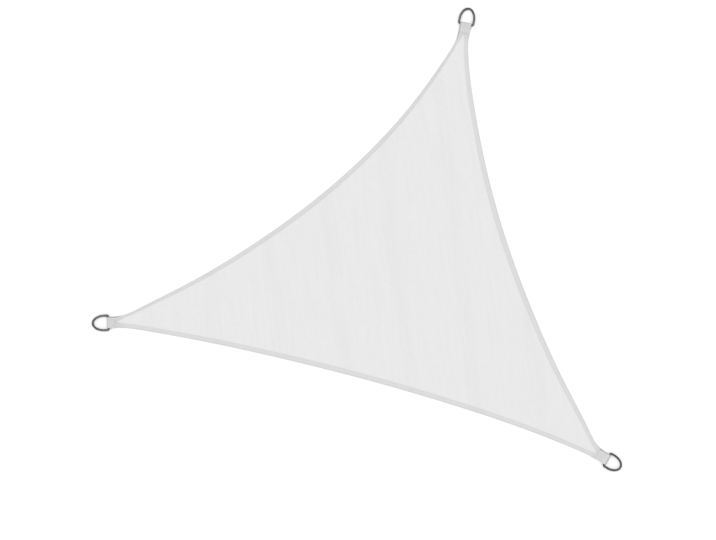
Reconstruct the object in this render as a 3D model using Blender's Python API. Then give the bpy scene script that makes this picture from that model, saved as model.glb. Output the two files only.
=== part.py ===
"""A triangular shade sail: one hemmed cloth, with a webbing tab and a steel D-ring at each corner.

The sail lies on the ground plane with its hems facing up. X runs along the foot, from the left corner to
the right one, Y towards the peak, Z up. The origin is on the ground, in the middle of the whole outline.
"""

from collections import namedtuple
from math import acos, asin, cos, degrees, hypot, pi, radians, sin

import bmesh
import bpy
import numpy as np
from mathutils import Matrix, Vector

# ---- Driving dimensions, in metres -------------------------------------------------------------------

# The three sides, from ring centre to ring centre.
FOOT_SPAN = 2.126
RIGHT_SPAN = 1.880
LEFT_SPAN = 1.911

CLOTH_THICKNESS = 0.0015
HEM_THICKNESS = 0.0030
GAP = 0.0003  # between neighbouring pieces

WEBBING_WIDTH = 0.044
WEBBING_THICKNESS = 0.0016

RING_WIRE = 0.008  # diameter of the steel
RING_INNER_WIDTH = 0.050
RING_LENGTH = 0.063  # centre of the bar to centre of the wire at the arch
RING_SHOULDER = 0.0065  # bend radius where the bar turns into a leg
RING_LEG_TOP = 0.018  # where the legs end and the arch begins, above the bar

# Distances along a corner's axis are counted from the centre of the ring's bar towards the cloth.
NECK_START = 0.016  # cut end of the cloth, just behind the loop
RAMP_LENGTH = 0.045  # over which the cloth rises to lie between the two layers of its tab
V_REACH = 0.070  # over which the hems close in on each other, down to the point of the single cloth

# Each corner: how far its axis is turned from the bisector of the two sides, where its straight neck
# ends, where the single cloth comes to a point between the hems, and where its tab ends.
Corner = namedtuple("Corner", "name turn_deg neck_end v_point tab_end")
CORNERS = (
    Corner("left", turn_deg=-8.8, neck_end=0.021, v_point=0.020, tab_end=0.025),
    Corner("right", turn_deg=12.0, neck_end=0.018, v_point=0.040, tab_end=0.044),
    Corner("peak", turn_deg=4.0, neck_end=0.035, v_point=0.030, tab_end=0.036),
)

# Each edge, anticlockwise: the width of its hem in the middle and near its corners, and its hollow, which
# is how far the edge lies inside the straight line between the ring centres at each of the STATIONS.
STATIONS = (0.08, 0.20, 0.35, 0.50, 0.65, 0.80, 0.92)
Edge = namedtuple("Edge", "start end hem_middle hem_end hollows")
EDGES = (
    Edge("left", "right", 0.0204, 0.0165, (0.0165, 0.0385, 0.0545, 0.0615, 0.0575, 0.042, 0.0155)),
    Edge("right", "peak", 0.0212, 0.0148, (0.0505, 0.086, 0.1165, 0.1295, 0.121, 0.0895, 0.0455)),
    Edge("peak", "left", 0.0180, 0.0092, (0.064, 0.1235, 0.1635, 0.170, 0.149, 0.1045, 0.052)),
)

EDGE_STEPS = 48
RAMP_STEPS = 5
CUT_TOLERANCE = 1e-6  # a point this near to a cut counts as lying on it
LOOP_STEPS = 12
FALL_STEPS = 6
SHOULDER_STEPS = 5
ARCH_STEPS = 24
WIRE_RESOLUTION = 2

# ---- Worked out from them ----------------------------------------------------------------------------

WIRE_RADIUS = RING_WIRE / 2
HALF_WEBBING = WEBBING_WIDTH / 2
LOOP_RADIUS = WIRE_RADIUS + GAP + WEBBING_THICKNESS / 2  # middle of the webbing round the bar
BAR_HEIGHT = LOOP_RADIUS + WEBBING_THICKNESS / 2
CLOTH_RISE = WEBBING_THICKNESS + GAP
UPPER_LAYER_HEIGHT = CLOTH_RISE + HEM_THICKNESS + GAP + WEBBING_THICKNESS / 2
RING_HALF_WIDTH = (RING_INNER_WIDTH + RING_WIRE) / 2
RING_TILT = asin((BAR_HEIGHT - WIRE_RADIUS) / RING_LENGTH)  # the arch rests on the ground
RING_CENTRE = RING_LENGTH / 2

CORNER = {corner.name: corner for corner in CORNERS}


# ---- Scene -------------------------------------------------------------------------------------------


def clear_scene():
    for obj in list(bpy.data.objects):
        bpy.data.objects.remove(obj, do_unlink=True)


def new_collection(name):
    collection = bpy.data.collections.new(name)
    bpy.context.scene.collection.children.link(collection)
    return collection


def add_object(name, data, collection, parent=None):
    obj = bpy.data.objects.new(name, data)
    collection.objects.link(obj)
    obj.parent = parent
    return obj


def principled(name, colour, roughness, metallic=0.0):
    material = bpy.data.materials.new(name)
    material.use_nodes = True
    shader = material.node_tree.nodes["Principled BSDF"]
    shader.inputs["Base Color"].default_value = (*colour, 1.0)
    shader.inputs["Roughness"].default_value = roughness
    shader.inputs["Metallic"].default_value = metallic
    return material


# ---- Plan of the sail --------------------------------------------------------------------------------


def ring_centres():
    """The left ring at (0, 0), the right one along +X, and the peak from the three sides."""
    peak_angle = acos((LEFT_SPAN**2 + FOOT_SPAN**2 - RIGHT_SPAN**2) / (2 * LEFT_SPAN * FOOT_SPAN))
    return {
        "left": Vector((0.0, 0.0)),
        "right": Vector((FOOT_SPAN, 0.0)),
        "peak": Vector((cos(peak_angle), sin(peak_angle))) * LEFT_SPAN,
    }


PLACES = ring_centres()


def turned(direction, angle):
    return Matrix.Rotation(angle, 2) @ direction


def corner_axis(name):
    """Unit vector from a corner's ring towards the cloth."""
    sides = [(place - PLACES[name]).normalized() for other, place in PLACES.items() if other != name]
    return turned((sides[0] + sides[1]).normalized(), radians(CORNER[name].turn_deg))


AXES = {corner.name: corner_axis(corner.name) for corner in CORNERS}


def corner_point(name, along, across):
    """A point of a corner: along its axis from the bar's centre, and across it, to the left of the axis."""
    axis = AXES[name]
    return PLACES[name] + axis * (RING_CENTRE + along) + turned(axis, pi / 2) * across


def distance_from_bar(name, point):
    return (point - PLACES[name]).dot(AXES[name]) - RING_CENTRE


def smoothstep(value):
    value = min(max(value, 0.0), 1.0)
    return value * value * (3 - 2 * value)


def clamped_spline(x, y, start_slope, end_slope):
    """The slopes at the points of the smooth cubic through them, its two end slopes being given."""
    step = np.diff(x)
    rise = np.diff(y) / step
    count = len(x)
    system = np.zeros((count, count))
    right = np.zeros(count)
    system[0, 0] = system[-1, -1] = 1.0
    right[0], right[-1] = start_slope, end_slope
    for i in range(1, count - 1):
        system[i, i - 1 : i + 2] = step[i], 2 * (step[i - 1] + step[i]), step[i - 1]
        right[i] = 3 * (step[i] * rise[i - 1] + step[i - 1] * rise[i])
    return np.linalg.solve(system, right)


def cubic_at(x, y, slopes, where):
    """The cubic between the two neighbours of a place, from their heights and slopes."""
    i = min(int(np.searchsorted(x, where, side="right")) - 1, len(x) - 2)
    width = x[i + 1] - x[i]
    t = (where - x[i]) / width
    return (
        (1 + 2 * t) * (1 - t) ** 2 * y[i]
        + t * (1 - t) ** 2 * width * slopes[i]
        + t * t * (3 - 2 * t) * y[i + 1]
        + t * t * (t - 1) * width * slopes[i + 1]
    )


def edge_line(edge):
    """Points of an edge's outer line, from the neck of its first corner to the neck of its second one."""
    start, end = PLACES[edge.start], PLACES[edge.end]
    span = (end - start).length
    along = (end - start) / span
    inward = turned(along, pi / 2)

    def plan(point):
        return (point - start).dot(along), (point - start).dot(inward)

    first = plan(corner_point(edge.start, CORNER[edge.start].neck_end, -HALF_WEBBING))
    last = plan(corner_point(edge.end, CORNER[edge.end].neck_end, HALF_WEBBING))
    x = np.array([first[0], *(station * span for station in STATIONS), last[0]])
    y = np.array([first[1], *edge.hollows, last[1]])
    leaving, arriving = AXES[edge.start], AXES[edge.end]
    slopes = clamped_spline(
        x,
        y,
        leaving.dot(inward) / leaving.dot(along),
        arriving.dot(inward) / arriving.dot(along),
    )
    # The steps are short near the necks, where the line bends most.
    places = [x[0] + (x[-1] - x[0]) * (1 - cos(pi * i / EDGE_STEPS)) / 2 for i in range(EDGE_STEPS + 1)]
    return [start + along * place + inward * cubic_at(x, y, slopes, place) for place in places]


def hem_line(edge, outer):
    """The hem's inner line, from the point of the single cloth at one corner to that at the other."""
    inner = []
    for i, point in enumerate(outer):
        before, after = outer[max(i - 1, 0)], outer[min(i + 1, len(outer) - 1)]
        inward = turned((after - before).normalized(), pi / 2)
        middle = sin(pi * i / EDGE_STEPS) ** 2
        width = edge.hem_end + (edge.hem_middle - edge.hem_end) * middle
        for name in (edge.start, edge.end):
            beyond = distance_from_bar(name, point) - CORNER[name].v_point
            closing = 1 - smoothstep(beyond / V_REACH)
            width += (HALF_WEBBING - width) * closing**2
            if beyond < GAP:
                break
        else:
            inner.append(point + inward * width)
    v_points = [corner_point(name, CORNER[name].v_point, 0.0) for name in (edge.start, edge.end)]
    return [v_points[0], *inner, v_points[1]]


def outlines():
    """The cloth's outer outline and the outline of its single cloth, both anticlockwise."""
    outer, inner = [], []
    for edge in EDGES:
        line = edge_line(edge)
        outer += [corner_point(edge.start, NECK_START, -HALF_WEBBING), *line]
        outer.append(corner_point(edge.end, NECK_START, HALF_WEBBING))
        inner += hem_line(edge, line)[:-1]
    return outer, inner


# ---- Cloth -------------------------------------------------------------------------------------------


def add_loop(mesh, outline, height):
    points = [mesh.verts.new((*point, height)) for point in outline]
    return [mesh.edges.new((a, b)) for a, b in zip(points, points[1:] + points[:1])]


def bridge(mesh, first, second):
    bmesh.ops.bridge_loops(mesh, edges=first + second)


def fill(mesh, edges):
    bmesh.ops.triangle_fill(mesh, use_beauty=True, edges=edges, normal=(0, 0, 1))


def rise_at(x, y):
    """How far the cloth lies above the ground, to pass over the lower layer of a tab."""
    rise = 0.0
    for corner in CORNERS:
        beyond = distance_from_bar(corner.name, Vector((x, y))) - corner.tab_end - GAP
        rise = max(rise, CLOTH_RISE * (1 - smoothstep(beyond / RAMP_LENGTH)))
    return rise


def cut_ramps(mesh):
    """Lines across each neck, for the cloth to bend on as it rises."""
    for corner in CORNERS:
        for i in range(RAMP_STEPS + 1):
            along = corner.tab_end + GAP + RAMP_LENGTH * i / RAMP_STEPS
            bmesh.ops.bisect_plane(
                mesh,
                geom=mesh.verts[:] + mesh.edges[:] + mesh.faces[:],
                dist=CUT_TOLERANCE,
                plane_co=(*corner_point(corner.name, along, 0.0), 0.0),
                plane_no=(*AXES[corner.name], 0.0),
            )


def make_cloth(collection, parent, material):
    outer, inner = outlines()
    mesh = bmesh.new()
    ground = add_loop(mesh, outer, 0.0)
    hem_outside = add_loop(mesh, outer, HEM_THICKNESS)
    hem_inside = add_loop(mesh, inner, HEM_THICKNESS)
    single = add_loop(mesh, inner, CLOTH_THICKNESS)
    fill(mesh, ground)
    fill(mesh, hem_outside + hem_inside)
    fill(mesh, single)
    bridge(mesh, ground, hem_outside)
    bridge(mesh, hem_inside, single)
    cut_ramps(mesh)
    bmesh.ops.triangulate(mesh, faces=mesh.faces[:])
    for vertex in mesh.verts:
        vertex.co.z += rise_at(vertex.co.x, vertex.co.y)
    bmesh.ops.recalc_face_normals(mesh, faces=mesh.faces[:])
    data = bpy.data.meshes.new("sail_cloth")
    mesh.to_mesh(data)
    mesh.free()
    data.materials.append(material)
    return add_object("sail_cloth", data, collection, parent)


# ---- Tabs and rings ----------------------------------------------------------------------------------


def tab_path(tab_end):
    """The middle line of the webbing from the side: along the ground, round the bar, down onto the cloth."""
    path = [(tab_end, WEBBING_THICKNESS / 2)]
    for i in range(LOOP_STEPS + 1):
        angle = -pi / 2 - pi * i / LOOP_STEPS
        path.append((LOOP_RADIUS * cos(angle), BAR_HEIGHT + LOOP_RADIUS * sin(angle)))
    top = BAR_HEIGHT + LOOP_RADIUS
    for i in range(1, FALL_STEPS + 1):
        share = i / FALL_STEPS
        path.append((NECK_START * share, top + (UPPER_LAYER_HEIGHT - top) * smoothstep(share)))
    path.append((tab_end, UPPER_LAYER_HEIGHT))
    return path


def thick_outline(path, thickness):
    """The closed outline of a strip whose middle line is the path."""
    left, right = [], []
    for i, (x, y) in enumerate(path):
        before, after = path[max(i - 1, 0)], path[min(i + 1, len(path) - 1)]
        run, rise = after[0] - before[0], after[1] - before[1]
        scale = thickness / 2 / hypot(run, rise)
        left.append((x - rise * scale, y + run * scale))
        right.append((x + rise * scale, y - run * scale))
    return left + right[::-1]


def curve_object(name, points, dimensions, collection, parent, material):
    curve = bpy.data.curves.new(name, "CURVE")
    curve.dimensions = dimensions
    spline = curve.splines.new("POLY")
    spline.points.add(len(points) - 1)
    for target, (x, y) in zip(spline.points, points):
        target.co = (x, y, 0.0, 1.0)
    spline.use_cyclic_u = True
    curve.materials.append(material)
    return add_object(name, curve, collection, parent)


def make_tab(corner, collection, parent, material):
    """The side view of the webbing, stood on edge and made as wide as the strip."""
    outline = thick_outline(tab_path(corner.tab_end), WEBBING_THICKNESS)
    tab = curve_object(f"tab_{corner.name}", outline, "2D", collection, parent, material)
    tab.data.fill_mode = "BOTH"
    tab.data.extrude = HALF_WEBBING
    tab.rotation_euler.x = radians(90)
    return tab


def ring_line():
    """The middle line of the D's wire: bar, shoulder, leg, arch, and back. Y runs from the bar to the arch."""
    bar_end = RING_HALF_WIDTH - RING_SHOULDER
    right = []
    for i in range(SHOULDER_STEPS + 1):
        angle = -pi / 2 + pi / 2 * i / SHOULDER_STEPS
        right.append((bar_end + RING_SHOULDER * cos(angle), RING_SHOULDER * (1 + sin(angle))))
    arch = []
    for i in range(ARCH_STEPS + 1):
        angle = pi * i / ARCH_STEPS
        height = RING_LEG_TOP + (RING_LENGTH - RING_LEG_TOP) * sin(angle)
        arch.append((RING_HALF_WIDTH * cos(angle), height))
    left = [(-x, y) for x, y in reversed(right)]
    return right + arch + left


def make_ring(corner, collection, parent, material):
    ring = curve_object(f"ring_{corner.name}", ring_line(), "3D", collection, parent, material)
    ring.data.bevel_depth = WIRE_RADIUS
    ring.data.bevel_resolution = WIRE_RESOLUTION
    ring.location.z = BAR_HEIGHT
    # The arch points away from the cloth and leans down to the ground.
    ring.rotation_euler = (-RING_TILT, 0.0, radians(90))
    return ring


def make_corner(corner, collection, parent, webbing, steel):
    """A frame at the middle of the bar, its X along the corner's axis, that holds the tab and the ring."""
    frame = add_object(f"corner_{corner.name}", None, collection, parent)
    frame.location = (*corner_point(corner.name, 0.0, 0.0), 0.0)
    frame.rotation_euler.z = AXES[corner.name].angle_signed(Vector((1.0, 0.0)))
    make_tab(corner, collection, frame, webbing)
    make_ring(corner, collection, frame, steel)


def centre_outline(root):
    """Moves the whole sail so that the middle of its outline is at the origin."""
    bpy.context.view_layer.update()
    graph = bpy.context.evaluated_depsgraph_get()
    points = []
    for obj in root.children_recursive:
        if obj.type == "EMPTY":
            continue
        solid = obj.evaluated_get(graph)
        points += [solid.matrix_world @ vertex.co for vertex in solid.to_mesh().vertices]
        solid.to_mesh_clear()
    for axis in (0, 1):
        values = [point[axis] for point in points]
        root.location[axis] = -(min(values) + max(values)) / 2


def main():
    clear_scene()
    collection = new_collection("shade_sail")
    cloth = principled("knitted_shade_cloth", (0.78, 0.79, 0.79), 0.85)
    webbing = principled("corner_webbing", (0.62, 0.63, 0.63), 0.80)
    steel = principled("ring_steel", (0.30, 0.30, 0.31), 0.35, metallic=1.0)
    root = add_object("sail_outline_centre", None, collection)
    make_cloth(collection, root, cloth)
    for corner in CORNERS:
        make_corner(corner, collection, root, webbing, steel)
    centre_outline(root)
    for name, axis in AXES.items():
        place = PLACES[name]
        print(f"{name}: ring at {place.x:.3f}, {place.y:.3f}, axis {degrees(Vector((1, 0)).angle(axis)):.1f} deg")


main()
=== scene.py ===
# %% [markdown]
# # A triangular shade sail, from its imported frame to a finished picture
#
# The real object is one cut of knitted shade cloth. Its three hollow edges are folded over and sewn down
# with two rows of stitches, and at each corner a short strip of webbing is looped round the straight bar of
# a steel D-ring and sewn through the cloth's neck. Here it lies flat on a pale floor, hems facing up.
#
# The frame gives the plain solids and their places. Every visible surface is made again below, at the same
# sizes: the cloth as a thin sheet with real folds, the webbing with its ribs, the rings as smooth steel.

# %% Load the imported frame
from collections import namedtuple
from math import acos, asin, ceil, cos, pi, radians, sin

import bmesh
import bpy
import numpy as np
from mathutils import Euler, Matrix, Vector, geometry


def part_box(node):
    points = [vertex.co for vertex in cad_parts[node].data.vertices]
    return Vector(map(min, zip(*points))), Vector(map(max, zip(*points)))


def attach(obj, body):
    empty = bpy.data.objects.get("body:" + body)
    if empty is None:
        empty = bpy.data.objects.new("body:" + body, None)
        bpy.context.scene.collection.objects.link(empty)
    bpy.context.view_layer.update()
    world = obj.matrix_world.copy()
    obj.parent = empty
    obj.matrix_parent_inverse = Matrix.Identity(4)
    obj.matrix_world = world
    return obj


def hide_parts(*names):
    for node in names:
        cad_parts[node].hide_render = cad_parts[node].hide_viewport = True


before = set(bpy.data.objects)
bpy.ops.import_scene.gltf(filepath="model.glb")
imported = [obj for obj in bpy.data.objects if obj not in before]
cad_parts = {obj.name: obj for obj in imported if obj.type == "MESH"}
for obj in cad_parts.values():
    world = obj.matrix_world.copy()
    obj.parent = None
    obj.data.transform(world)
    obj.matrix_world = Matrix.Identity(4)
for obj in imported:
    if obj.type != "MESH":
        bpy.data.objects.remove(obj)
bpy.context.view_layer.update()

print("nodes:", ", ".join(sorted(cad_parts)))

# %% [markdown]
# ## Sizes
#
# The sail is set out from few numbers: the three sides from ring to ring, how hollow each edge is at seven
# stations, and how each corner is made up. They are the sizes that the frame was built from, so each new
# surface lands exactly on the solid that it stands for.

# %% Driving sizes, in metres
FOOT_SPAN = 2.126
RIGHT_SPAN = 1.880
LEFT_SPAN = 1.911

CLOTH_THICKNESS = 0.0015
HEM_THICKNESS = 0.0030
GAP = 0.0003
WEBBING_WIDTH = 0.044
WEBBING_THICKNESS = 0.0016
RING_WIRE = 0.008
RING_INNER_WIDTH = 0.050
RING_LENGTH = 0.063
RING_SHOULDER = 0.0065
RING_LEG_TOP = 0.018
NECK_START = 0.016
RAMP_LENGTH = 0.045
V_REACH = 0.070

Corner = namedtuple("Corner", "name turn_deg neck_end v_point tab_end")
CORNERS = (
    Corner("left", turn_deg=-8.8, neck_end=0.021, v_point=0.020, tab_end=0.025),
    Corner("right", turn_deg=12.0, neck_end=0.018, v_point=0.040, tab_end=0.044),
    Corner("peak", turn_deg=4.0, neck_end=0.035, v_point=0.030, tab_end=0.036),
)
# Beside each neck a painted shadow darkens the hem's fold on one side, 1 being left of the axis, up to this
# far from the bar.
NeckFoldShadow = namedtuple("NeckFoldShadow", "side end")
NECK_FOLD_SHADOWS = {"left": NeckFoldShadow(1, 0.064), "right": NeckFoldShadow(-1, 0.056), "peak": NeckFoldShadow(-1, 0.078)}
NECK_FOLD_SHADOW_FADE = 0.030

STATIONS = (0.08, 0.20, 0.35, 0.50, 0.65, 0.80, 0.92)
Edge = namedtuple("Edge", "start end hem_middle hem_end hollows")
EDGES = (
    Edge("left", "right", 0.0204, 0.0165, (0.0165, 0.0385, 0.0545, 0.0615, 0.0575, 0.042, 0.0155)),
    Edge("right", "peak", 0.0212, 0.0148, (0.0505, 0.086, 0.1165, 0.1295, 0.121, 0.0895, 0.0455)),
    Edge("peak", "left", 0.0180, 0.0092, (0.064, 0.1235, 0.1635, 0.170, 0.149, 0.1045, 0.052)),
)

WIRE_RADIUS = RING_WIRE / 2
HALF_WEBBING = WEBBING_WIDTH / 2
LOOP_RADIUS = WIRE_RADIUS + GAP + WEBBING_THICKNESS / 2
BAR_HEIGHT = LOOP_RADIUS + WEBBING_THICKNESS / 2
CLOTH_RISE = WEBBING_THICKNESS + GAP
UPPER_LAYER_HEIGHT = CLOTH_RISE + HEM_THICKNESS + GAP + WEBBING_THICKNESS / 2
RING_CENTRE = RING_LENGTH / 2
RING_HALF_WIDTH = (RING_INNER_WIDTH + RING_WIRE) / 2
RING_TILT = asin((BAR_HEIGHT - WIRE_RADIUS) / RING_LENGTH)
CORNER = {corner.name: corner for corner in CORNERS}
print(f"{len(CORNERS)} corners, {len(EDGES)} edges, longest side {FOOT_SPAN} m from ring to ring")

# %% [markdown]
# ## Setting out the corners
#
# Two sides meet at each ring. A corner's axis, the line that its tab pulls along, is near the bisector of
# the two, turned a little because the edges are unequally hollow. The frame says where the sail lies on the
# floor, so the plan is shifted until its necks touch the sides of the cloth's box.

# %% Corner places and axes
MM = 0.001


def turned(direction, angle):
    """A plan direction turned anticlockwise; works on one vector and on rows of them."""
    turn = np.array([[cos(angle), sin(angle)], [-sin(angle), cos(angle)]])
    return np.asarray(direction) @ turn


def unit(vector):
    return vector / np.linalg.norm(vector, axis=-1, keepdims=True)


def smoothstep(value):
    value = np.clip(value, 0.0, 1.0)
    return value * value * (3 - 2 * value)


peak_angle = acos((LEFT_SPAN**2 + FOOT_SPAN**2 - RIGHT_SPAN**2) / (2 * LEFT_SPAN * FOOT_SPAN))
PLACES = {
    "left": np.array([0.0, 0.0]),
    "right": np.array([FOOT_SPAN, 0.0]),
    "peak": np.array([cos(peak_angle), sin(peak_angle)]) * LEFT_SPAN,
}


def corner_axis(name):
    """Unit vector from a corner's ring towards the cloth."""
    sides = [unit(place - PLACES[name]) for other, place in PLACES.items() if other != name]
    return turned(unit(sides[0] + sides[1]), radians(CORNER[name].turn_deg))


AXES = {corner.name: corner_axis(corner.name) for corner in CORNERS}


def corner_point(name, along, across):
    """Points of a corner: along its axis from the ring's bar, and across it, to the left of the axis."""
    side = turned(AXES[name], pi / 2)
    step = np.multiply.outer(np.asarray(RING_CENTRE + along), AXES[name])
    return PLACES[name] + step + np.multiply.outer(np.asarray(across), side)


def from_bar(name, points):
    """How far plan points lie from the bar, along the corner's axis."""
    return (points - PLACES[name]) @ AXES[name] - RING_CENTRE


cloth_low, cloth_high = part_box("sail_cloth")
neck_sides = [(corner.name, side) for corner in CORNERS for side in (-HALF_WEBBING, HALF_WEBBING)]
necks = np.array([corner_point(name, NECK_START, side) for name, side in neck_sides])
shift = np.array([cloth_low.x - necks[:, 0].min(), cloth_high.y - necks[:, 1].max()])
for name in PLACES:
    PLACES[name] = PLACES[name] + shift
    print(f"{name} ring at {PLACES[name].round(4)}, axis {AXES[name].round(3)}")

# %% [markdown]
# ## Camera, light and floor
#
# The sail is seen from straight above, turned so that its foot drops to the right. A long lens from high up
# keeps it free of perspective. The floor and the light are as plain as a product table: a near-white plane,
# an even white surround and one broad soft lamp from far overhead, so that every part of the cloth gets the
# same light and the steel still has a highlight.

# %% Camera
scene = bpy.context.scene
VIEW_TURN = radians(15.305)
VIEW_MIDDLE = (-0.1265, -0.3107)
VIEW_WIDTH = 2.864
LENS_MM = 85.0
SENSOR_MM = 36.0
FARTHEST_SEEN = 100.0

camera_data = bpy.data.cameras.new("camera")
camera_data.lens = LENS_MM
camera_data.sensor_width = SENSOR_MM
camera_data.clip_end = FARTHEST_SEEN
camera = bpy.data.objects.new("camera", camera_data)
camera.location = (*VIEW_MIDDLE, VIEW_WIDTH * LENS_MM / SENSOR_MM)
camera.rotation_euler = (0.0, 0.0, VIEW_TURN)
scene.collection.objects.link(camera)
scene.camera = camera
scene.view_settings.view_transform = "Standard"
print(f"camera {camera.location.z:.2f} m above the floor")

# %% Light and floor
SURROUND = 0.90
LAMP_STRENGTH = 0.95
LAMP_SPREAD = radians(24.0)
LAMP_FROM = Vector((-0.38, 0.22, 0.90))  # towards the lamp, which hangs well overhead
FLOOR_COLOUR = (0.93, 0.93, 0.93)
FLOOR_SIZE = 60.0
FLOOR_DROP = 0.3 * MM

world = bpy.data.worlds.new("white_surround")
world.use_nodes = True
world.node_tree.nodes["Background"].inputs["Color"].default_value = (1.0, 1.0, 1.0, 1.0)
world.node_tree.nodes["Background"].inputs["Strength"].default_value = SURROUND
scene.world = world

lamp_data = bpy.data.lights.new("soft_lamp", "SUN")
lamp_data.energy = LAMP_STRENGTH
lamp_data.angle = LAMP_SPREAD
lamp = bpy.data.objects.new("soft_lamp", lamp_data)
lamp.rotation_euler = LAMP_FROM.to_track_quat("Z", "Y").to_euler()
scene.collection.objects.link(lamp)


def plain_material(name, colour, settings):
    """A new material and its one shader, with plain starting values."""
    material = bpy.data.materials.new(name)
    material.use_nodes = True
    shader = material.node_tree.nodes["Principled BSDF"]
    shader.inputs["Base Color"].default_value = (*colour, 1.0)
    for socket_name, value in settings.items():
        shader.inputs[socket_name].default_value = value
    return material, shader


floor_mesh = bmesh.new()
bmesh.ops.create_grid(floor_mesh, x_segments=1, y_segments=1, size=FLOOR_SIZE / 2)
bmesh.ops.translate(floor_mesh, verts=floor_mesh.verts, vec=(0.0, 0.0, -FLOOR_DROP))
floor_data = bpy.data.meshes.new("floor")
floor_mesh.to_mesh(floor_data)
floor_mesh.free()
floor_data.materials.append(plain_material("pale_floor", FLOOR_COLOUR, {"Roughness": 0.9})[0])
floor = bpy.data.objects.new("floor", floor_data)
scene.collection.objects.link(floor)
print(f"floor {FLOOR_SIZE:.0f} m square, surround {SURROUND}, lamp {LAMP_STRENGTH}")

# %% [markdown]
# ## The three edges in plan
#
# Each edge is a smooth cubic through its stations that runs straight into the two necks. It is read at even
# steps, a few millimetres apart, and at each step a column of points will run inwards across the hem. In a
# neck the columns stand square to the corner's axis, so that the hems of two edges share their last points
# down the middle of the neck. Past the neck they turn until they are square to the edge.

# %% Outer lines
LINE_POINTS = 1600
COLUMN_STEP = 5 * MM
NECK_STEP = 3 * MM
COLUMN_TURN = 30 * MM  # over which the columns turn from the axis's square to the edge's
POINT_REACH = 6 * MM  # over which the single cloth opens out from its point


def cubic_slopes(x, y, first, last):
    """Slopes of the smooth cubic through the points, with its two end slopes given."""
    step = np.diff(x)
    rise = np.diff(y) / step
    system = np.eye(len(x))
    right = np.array([first, *np.zeros(len(x) - 2), last])
    for i in range(1, len(x) - 1):
        system[i, i - 1 : i + 2] = step[i], 2 * (step[i - 1] + step[i]), step[i - 1]
        right[i] = 3 * (step[i] * rise[i - 1] + step[i - 1] * rise[i])
    return np.linalg.solve(system, right)


def cubic(x, y, slopes, where):
    i = np.clip(np.searchsorted(x, where, side="right") - 1, 0, len(x) - 2)
    width = x[i + 1] - x[i]
    t = (where - x[i]) / width
    start = (1 + 2 * t) * (1 - t) ** 2 * y[i] + t * (1 - t) ** 2 * width * slopes[i]
    return start + t * t * (3 - 2 * t) * y[i + 1] + t * t * (t - 1) * width * slopes[i + 1]


def outer_line(edge):
    """Dense points of an edge's outer line, cut end to cut end, and each point's share of the way along."""
    start, end = PLACES[edge.start], PLACES[edge.end]
    along = unit(end - start)
    inward = turned(along, pi / 2)
    span = np.linalg.norm(end - start)
    first = corner_point(edge.start, CORNER[edge.start].neck_end, -HALF_WEBBING) - start
    last = corner_point(edge.end, CORNER[edge.end].neck_end, HALF_WEBBING) - start
    x = np.array([first @ along, *(station * span for station in STATIONS), last @ along])
    y = np.array([first @ inward, *edge.hollows, last @ inward])
    end_slopes = [(axis @ inward) / (axis @ along) for axis in (AXES[edge.start], AXES[edge.end])]
    slopes = cubic_slopes(x, y, *end_slopes)
    where = np.linspace(x[0], x[-1], LINE_POINTS)
    curve = start + np.outer(where, along) + np.outer(cubic(x, y, slopes, where), inward)
    share = np.linspace(0.0, 1.0, LINE_POINTS)
    cut_start = corner_point(edge.start, NECK_START, -HALF_WEBBING)
    cut_finish = corner_point(edge.end, NECK_START, HALF_WEBBING)
    return np.vstack([cut_start, curve, cut_finish]), np.array([0.0, *share, 1.0])


def run_along(line):
    return np.concatenate([[0.0], np.cumsum(np.linalg.norm(np.diff(line, axis=0), axis=1))])


for edge in EDGES:
    print(f"{edge.start} to {edge.end}: {run_along(outer_line(edge)[0])[-1]:.3f} m of hem")

# %% Columns across the hems
Columns = namedtuple("Columns", "edge run outer inward width beyond neck_steps")


def neck_places(corner):
    steps = ceil((corner.v_point - NECK_START) / NECK_STEP)
    return np.linspace(NECK_START, corner.v_point, steps + 1)


def read_at(where, run, values):
    return np.stack([np.interp(where, run, values[:, k]) for k in range(values.shape[1])], axis=1)


def edge_columns(edge):
    """Where each column starts on the outer line, which way it runs and how long it is."""
    line, share = outer_line(edge)
    run = run_along(line)
    half = len(line) // 2
    first, last = CORNER[edge.start], CORNER[edge.end]
    neck_a = np.interp(neck_places(first), from_bar(first.name, line[:half]), run[:half])
    neck_b = np.interp(neck_places(last), from_bar(last.name, line[half:])[::-1], run[half:][::-1])
    middle = np.linspace(neck_a[-1], neck_b[-1], round((neck_b[-1] - neck_a[-1]) / COLUMN_STEP) + 1)
    where = np.concatenate([neck_a, middle[1:-1], neck_b[::-1]])
    outer = read_at(where, run, line)
    tangent = unit(read_at(where, run, np.gradient(line, run, axis=0)))
    square = turned(tangent, pi / 2)
    place = np.interp(where, run, share)
    middle_share = 4 * place * (1 - place)
    width = edge.hem_end + (edge.hem_middle - edge.hem_end) * middle_share
    near_first = np.arange(len(where)) < len(where) // 2
    inward, beyond = square.copy(), np.zeros(len(where))
    for corner, here, sign in ((first, near_first, 1), (last, ~near_first, -1)):
        away = from_bar(corner.name, outer[here]) - corner.v_point
        to_axis = turned(AXES[corner.name], sign * pi / 2)
        blend = smoothstep(away / COLUMN_TURN)[:, None]
        inward[here] = unit(to_axis * (1 - blend) + square[here] * blend)
        closing = 1 - smoothstep(away / V_REACH)
        sewn = width[here] + (HALF_WEBBING - width[here]) * closing**2
        to_middle = (PLACES[corner.name] - outer[here]) @ to_axis
        opening = np.where(away > 0, 1 - np.exp(-np.maximum(away, 0) / POINT_REACH), 0.0)
        width[here] = to_middle + (sewn - to_middle) * opening
        beyond[here] = away
    return Columns(edge, where, outer, inward, width, beyond, (len(neck_a) - 1, len(neck_b) - 1))


COLUMNS = [edge_columns(edge) for edge in EDGES]
for columns in COLUMNS:
    count, edge = len(columns.run), columns.edge
    print(f"{edge.start} to {edge.end}: {count} columns, hem {columns.width[count // 2] / MM:.1f} mm")
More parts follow.
